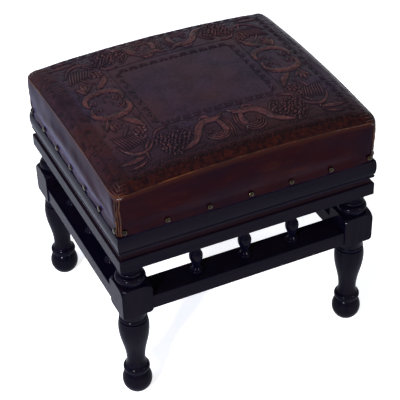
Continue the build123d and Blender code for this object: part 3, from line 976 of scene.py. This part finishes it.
corner_at = np.cumsum([0, cells_x, cells_y, cells_x, cells_y])
outward = {"front": (0, -1, 0), "right": (1, 0, 0), "back": (0, 1, 0), "left": (-1, 0, 0)}
side_step = 0.002
side_height = 0.095
leather_thick = 0.002
foot_lift = 0.0006
turned_in = 0.006
pucker_width, pucker_depth = 0.009, 0.0009
wave_depth, crease_depth = 0.0013, 0.0004
side_sheets = []
seam_lines = {}
corner_lines = {}
for number, side in enumerate(SIDES):
    columns = np.arange(corner_at[number], corner_at[number + 1] + 1) % rim_count
    coarse = np.stack([cover_points[ring[columns]] for ring in ring_index])
    long_side = side in LONG_SIDES
    half_run = seam_x if long_side else seam_y
    column_places = np.linspace(0, len(columns) - 1, int(2 * half_run / side_step))
    row_places = np.linspace(0, side_rows, int(side_height / side_step))
    points = resample(coarse, row_places, column_places)
    seam_lines[side] = points[0].copy()
    corner_lines[side] = points[:, 0].copy()
    out = np.array(outward[side], float)
    normal = normals_of(points)
    normal = normal * np.sign(np.sum(normal * out, axis=-1).mean())
    # Puckers drawn down to each tack, and long soft waves
    run = np.linspace(-half_run, half_run, len(column_places))[None, :]
    fall = np.linspace(0, 1, len(row_places))[:, None]
    tack_run = long_tack_run if long_side else short_tack_run
    shape = points.shape[:2]
    ripple = np.zeros(shape)
    for spot in np.linspace(-tack_run, tack_run, tacks_a_side):
        drawn = np.exp(-(((run - spot) / pucker_width) ** 2)) * ramp(fall - 0.70, 0.22)
        ripple -= pucker_depth * drawn
    ripple += soft_noise(shape, (3, 16), 20 + number) * np.sin(np.pi * fall) * wave_depth
    creased = np.clip(fall * 1.6 - 0.5, 0, 1)
    ripple += soft_noise(shape, (5, 46), 30 + number) * creased * crease_depth
    ripple *= ramp(fall, 0.06) * ramp(half_run - np.abs(run), 0.012)
    points = points + normal * ripple[..., None]
    # The cut lower edge, turned in by the thickness of the leather
    foot = points[-1].copy()
    points[-1, :, 2] += foot_lift
    inner = foot - out * leather_thick
    under = inner + np.array([0, 0, turned_in])
    points = np.concatenate([points, foot[None], inner[None], under[None]])
    edge, worn = np.zeros((2, *points.shape[:2]))
    edge[-3:] = 1.0
    # worn: lighter just under the seam, partly rubbed wear and partly a painted highlight
    worn[:-3] = np.exp(-((fall / 0.10) ** 2))
    marks = {"edge": edge[::-1], "worn": worn[::-1]}
    side_sheets.append(sheet_mesh(f"side_leather_{side}", points[::-1], marks, side_finish))


# Folded seam edges: a ridge round the top, and ridges and small folds at each corner

seam_gap, seam_wander, seam_sunk = 0.0036, 0.0008, 0.0005
ridge_thin, ridge_thick, ridge_foot = 0.0009, 0.0018, 0.0006
gather_reach, gather_drop, gather_sunk = 0.014, 0.0056, 0.0002
gather_thin, gather_swell = 0.0003, 0.0027
fold_insets, fold_reach, fold_shrink = (0.0035, 0.0085, 0.014), 0.020, 0.003
fold_end, fold_thin, fold_thick = 0.0002, 0.0008, 0.0013
rim_line = np.concatenate([seam_lines[side][:-1] for side in SIDES])
ridges = [tube_mesh("top_edge_seam", rim_line, ridge_thin, ridge_finish, closed=True)]


def uneven(chance, count, low, high, knots=8):
    """Values that drift between two limits along a line."""
    shares = np.linspace(0, 1, count)
    return np.interp(shares, np.linspace(0, 1, knots), chance.uniform(low, high, knots))


def cell_share(ticks, at):
    """The cell of a grid line that a place falls in, and its share across that cell."""
    place = np.interp(at, ticks, np.arange(len(ticks)))
    cell = np.minimum(place.astype(int), len(ticks) - 2)
    return cell, (place - cell)[:, None]


def on_top(x, y):
    """Points of the top sheet at places given in metres on its flat layout."""
    (left, u), (low, v) = cell_share(top_xs, x * 1e3), cell_share(top_ys, y * 1e3)
    near, beyond = (
        (1 - v) * top_points[low, at] + v * top_points[low + 1, at] for at in (left, left + 1)
    )
    return (1 - u) * near + u * beyond


rim_start = 0
for number, side in enumerate(SIDES):
    line = corner_lines[side]
    chance = np.random.default_rng(50 + number)
    sign_x, sign_y = np.sign(line[0][:2])
    outline = np.array([sign_x, sign_y, 0]) / math.sqrt(2)
    aside = np.array([-outline[1], outline[0], 0])
    for hand, order in ((-1, "first"), (0, "middle"), (1, "second")):
        shift = hand * seam_gap + uneven(chance, len(line), -seam_wander, seam_wander)
        path = line + aside * shift[:, None] - outline * seam_sunk
        radii = uneven(chance, len(line), ridge_thin, ridge_thick, 12)
        radii[-4:] = np.linspace(radii[-4], ridge_foot, 4)
        ridges.append(tube_mesh(f"corner_seam_{side}_{order}", path, radii, ridge_finish))
    # Leather gathered in small rolls round the corner: one under the seam, three on the top
    steps = max(3, round(gather_reach / side_step))
    spread = np.arange(-steps, steps + 1)
    share = 1 - (spread / steps) ** 2
    path = rim_line[(rim_start + spread) % len(rim_line)].copy()
    path[:, 2] -= gather_drop * share
    path -= outline * gather_sunk
    radii = gather_thin + gather_swell * np.sqrt(share)
    ridges.append(tube_mesh(f"corner_gather_{side}", path, radii, fold_finish))
    rim_start += len(seam_lines[side]) - 1
    run = np.linspace(-1, 1, 25)
    for order, inset in enumerate(fold_insets):
        away = inset + (fold_reach - order * fold_shrink) * np.abs(run)
        reach_x, reach_y = np.where(run < 0, away, inset), np.where(run < 0, inset, away)
        path = on_top(sign_x * (seam_x - reach_x), sign_y * (seam_y - reach_y))
        radii = fold_end + uneven(chance, len(run), fold_thin, fold_thick) * (1 - run**2)
        ridges.append(tube_mesh(f"corner_fold_{side}_{order}", path, radii, fold_finish))


# The tacks

def turned(name, profile, material, sides=28):
    """A round piece from its profile of radius and height, the first and last on the axis."""
    angles = np.arange(sides) * 2 * math.pi / sides
    ring = np.stack([np.cos(angles), np.sin(angles)], 1)
    points = np.concatenate([
        np.column_stack([ring * max(radius, pole_radius), np.full(sides, height)])
        for radius, height in profile
    ])
    rings = np.arange(len(points)).reshape(len(profile), sides)
    return close_poles(quad_mesh(name, points, ring_quads(rings), {}, material))


head_height, head_foot, rim_level, dome_level = 0.0030, -0.0016, -0.0003, -0.0002
tack_head = turned(
    "tack_pattern",
    [(0, head_foot), (head_radius * 0.9, head_foot), (head_radius * 1.02, rim_level)]
    + [
        (head_radius * math.sin(angle), dome_level + head_height * math.cos(angle) ** 0.9)
        for angle in np.linspace(math.pi / 2 * 0.96, 0, 9)
    ],
    brass_finish,
)


def tack_row_tree():
    """Sets out a row of heads, each turned and tilted a little."""
    group = bpy.data.node_groups.new("tack row", "GeometryNodeTree")
    row = Nodes(group)
    for name, kind in (("Run", "Float"), ("Seed", "Int")):
        group.interface.new_socket(name, in_out="INPUT", socket_type=f"NodeSocket{kind}")
    group.interface.new_socket("Geometry", in_out="OUTPUT", socket_type="NodeSocketGeometry")

    def given(name):
        return row.node("NodeGroupInput", {}, {}, name)

    start = row.node("ShaderNodeCombineXYZ", {}, {"X": -1.0 * given("Run")})
    end = row.node("ShaderNodeCombineXYZ", {}, {"X": given("Run")})
    places = {"Count": tacks_a_side, "Start Location": start, "Offset": end}
    line = row.node("GeometryNodeMeshLine", {"mode": "END_POINTS"}, places)
    pattern = {"Object": tack_head, "As Instance": True}
    head = row.node("GeometryNodeObjectInfo", {}, pattern, "Geometry")
    most = Vector((0.07, 0.07, 3.1))
    tilts = {0: -most, 1: most, "Seed": given("Seed")}
    tilt = row.node("FunctionNodeRandomValue", {"data_type": "FLOAT_VECTOR"}, tilts)
    heads = {"Points": line, "Instance": head, "Rotation": tilt}
    spread = row.node("GeometryNodeInstanceOnPoints", {}, heads)
    real = row.node("GeometryNodeRealizeInstances", {}, {0: spread})
    paint = {"Geometry": real, "Material": brass_finish}
    row.node("NodeGroupOutput", {}, {0: row.node("GeometryNodeSetMaterial", {}, paint)})
    return group


tack_tree = tack_row_tree()
tack_sockets = {item.name: item.identifier for item in tack_tree.interface.items_tree}
tack_clearance = 0.0004
quarter_turn = math.radians(90)
tack_pieces = []
for number, side in enumerate(SIDES):
    long_side = side in LONG_SIDES
    carrier = show(f"tack_carrier_{side}", bpy.data.meshes.new(f"tack_carrier_{side}"))
    modifier = carrier.modifiers.new("tack row", "NODES")
    modifier.node_group = tack_tree
    modifier[tack_sockets["Run"]] = long_tack_run if long_side else short_tack_run
    modifier[tack_sockets["Seed"]] = 40 + number
    graph = bpy.context.evaluated_depsgraph_get()
    mesh = bpy.data.meshes.new_from_object(carrier.evaluated_get(graph))
    bpy.data.objects.remove(carrier)
    face = (face_y if long_side else face_x) + tack_clearance
    stand = Matrix.Translation((0, -face, tack_level)) @ Matrix.Rotation(quarter_turn, 4, "X")
    mesh.transform(Matrix.Rotation(quarter_turn * number, 4, "Z") @ stand)
    mesh.shade_smooth()
    tack_pieces.append(show(f"tack_heads_{side}", mesh))
bpy.data.objects.remove(tack_head)


# What each piece is

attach(top_sheet, "root")
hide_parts("leather_top", "foam_core")
for side, sheet in zip(SIDES, side_sheets):
    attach(sheet, "root")
    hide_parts(f"leather_side_{side}")
for ridge in ridges:
    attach(ridge, "root")
for side, piece in zip(SIDES, tack_pieces):
    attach(piece, "root")
    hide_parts(f"tacks_{side}")


# The studio

scene.view_settings.view_transform = "Standard"

floor_finish = Finish("studio_floor").surface(
    Base_Color=tone(0.90, 0.87, 0.82),
    Roughness=0.9,
    Specular_IOR_Level=0.0,
    Emission_Color=white,
    Emission_Strength=0.64,
)
floor_ends = (-7.0, 7.0)
floor_points = np.array([[(x, y, 0.0) for x in floor_ends] for y in floor_ends])
floor = sheet_mesh("studio_floor", floor_points, {}, floor_finish)

scene.world = bpy.data.worlds.new("studio")
scene.world.use_nodes = True
sky = Nodes(scene.world.node_tree)
camera_ray, glossy_ray, transmission_ray = (
    sky.node("ShaderNodeLightPath", {}, {}, f"Is {kind} Ray")
    for kind in ("Camera", "Glossy", "Transmission")
)
soft, plain = (
    sky.node("ShaderNodeBackground", {}, {"Color": colour, "Strength": strength})
    for colour, strength in ((tone(0.80, 0.88, 1.0), 0.42), (white, 1.0))
)
seen = camera_ray + glossy_ray + transmission_ray
sky.node("ShaderNodeOutputWorld", {}, {
    "Surface": sky.node("ShaderNodeMixShader", {}, {"Fac": seen, 1: soft, 2: plain}),
})

aim = Vector((0, 0, 0.3))
for name, place, width, height, power, colour in (
    ("key_softbox", (-1.3, -0.2, 3.0), 0.3, 0.3, 42, (0.96, 0.96, 1.0)),
    ("near_softbox", (-2.03, -1.80, 1.45), 0.3, 0.3, 120, (0.92, 0.94, 1.0)),
    ("right_softbox", (1.60, -2.20, 1.45), 0.3, 0.3, 24, (0.88, 0.92, 1.0)),
    ("left_softbox", (-3.0, 0.6, 1.6), 2.0, 1.6, 42, (0.20, 0.36, 1.0)),
):
    light = bpy.data.lights.new(name, "AREA")
    light.shape = "RECTANGLE"
    light.size, light.size_y = width, height
    light.energy = power
    light.color = colour
    lamp = show(name, light)
    lamp.location = place
    lamp.rotation_mode = "QUATERNION"
    lamp.rotation_quaternion = (aim - Vector(place)).to_track_quat("-Z", "Y")

# The camera's place, direction and lens match the corners in the photograph
camera_place = Vector((-0.7625, -1.6813, 1.6037))
camera_azimuth = math.radians(-24.438)
camera_elevation = math.radians(36.98)
camera_roll = math.radians(-1.645)
focal_share = 1290.5 / 400
sensor = 36.0
lens = bpy.data.cameras.new("camera")
lens.sensor_width = sensor
lens.lens = sensor * focal_share
lens.clip_start, lens.clip_end = 0.1, 50
camera = show("camera", lens)
scene.camera = camera
camera.matrix_world = (
    Matrix.Translation(camera_place)
    @ Matrix.Rotation(camera_azimuth, 4, "Z")
    @ Matrix.Rotation(quarter_turn - camera_elevation, 4, "X")
    @ Matrix.Rotation(camera_roll, 4, "Z")
)
